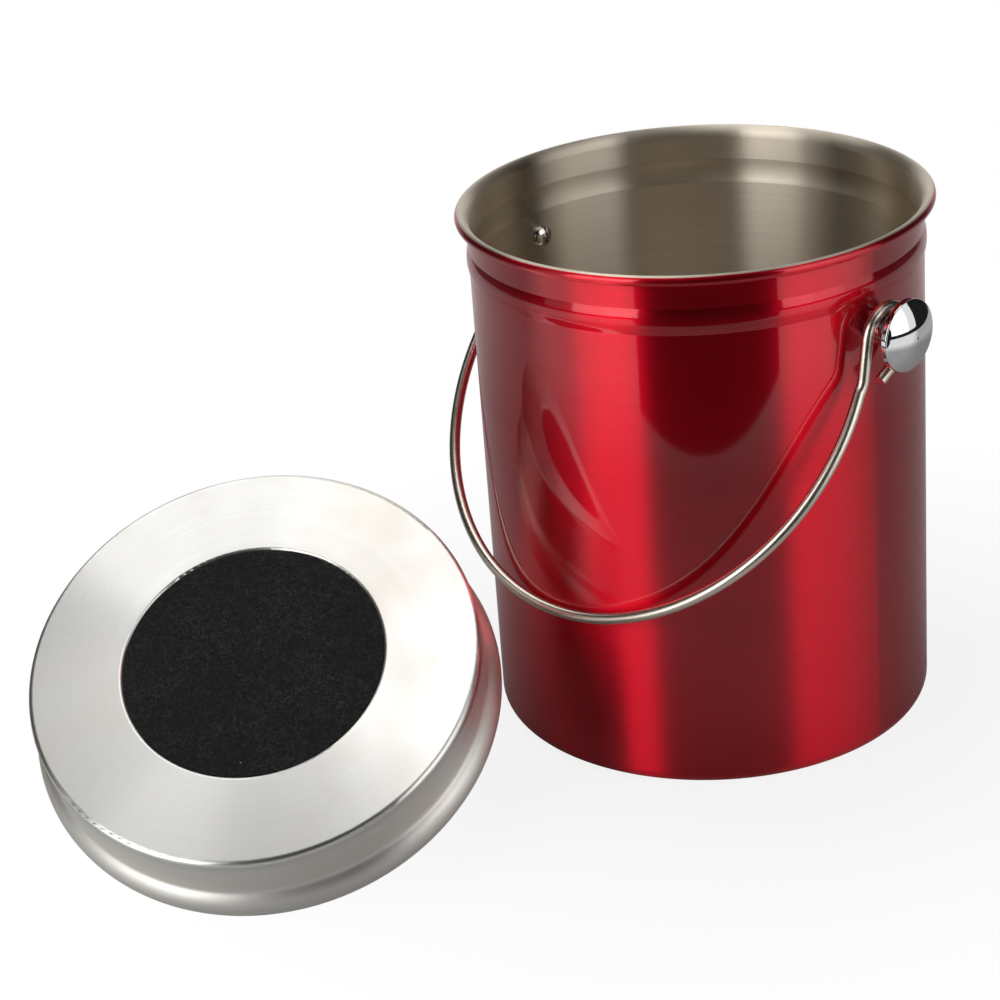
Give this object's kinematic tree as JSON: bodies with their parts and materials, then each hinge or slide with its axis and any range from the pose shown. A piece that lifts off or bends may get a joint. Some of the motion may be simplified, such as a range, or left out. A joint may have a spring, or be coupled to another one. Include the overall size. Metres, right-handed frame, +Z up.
{
  "type": "compost caddy",
  "caption": "Round steel kitchen compost pail with a wire bail on side knobs and a lift-off domed lid whose pull-off cover holds a felt filter.",
  "frame": {"origin": "centre of the pail's base, on the floor", "axes": "+Z up, +X along the bail's pivots to the right knob, the bail and the lid lie on the -Y side"},
  "size_m": [0.2316, 0.3345, 0.192],
  "materials": {
    "lacquered_steel": "clear red gloss lacquer over brushed steel outside, bare brushed steel inside",
    "chrome": "mirror",
    "screw_steel": "plain",
    "polished_wire": "polished",
    "brushed_steel": "fine circular brushing",
    "felt": "matte carbon felt"
  },
  "bodies": {
    "pail": {"pail_body": "lacquered_steel", "knob_right": "chrome", "knob_left": "chrome", "screw_right": "screw_steel", "screw_left": "screw_steel", "washer_right": "screw_steel", "washer_left": "screw_steel"},
    "bail": {"bail_handle": "polished_wire"},
    "lid": {"lid_cover": "brushed_steel", "lid_knob": "chrome", "lid_knob_screw": "screw_steel", "lid_knob_washer": "screw_steel", "charcoal_filter": "felt"},
    "filter_cover": {"filter_retainer": "brushed_steel"}
  },
  "joints": [
    {"name": "bail_swing", "type": "hinge", "parent": "pail", "child": "bail", "pos_m": [0, 0, 0.1608], "axis": [-1, 0, 0], "range_deg": [0, 280]},
    {"name": "lid_lift", "type": "slide", "parent": "pail", "child": "lid", "axis": [0.3055, -0.3882, 0.8695], "range_m": [0, 0.15]},
    {"name": "filter_cover_pull", "type": "slide", "parent": "lid", "child": "filter_cover", "axis": [0.3055, -0.3882, 0.8695], "range_m": [0, 0.04]}
  ]
}
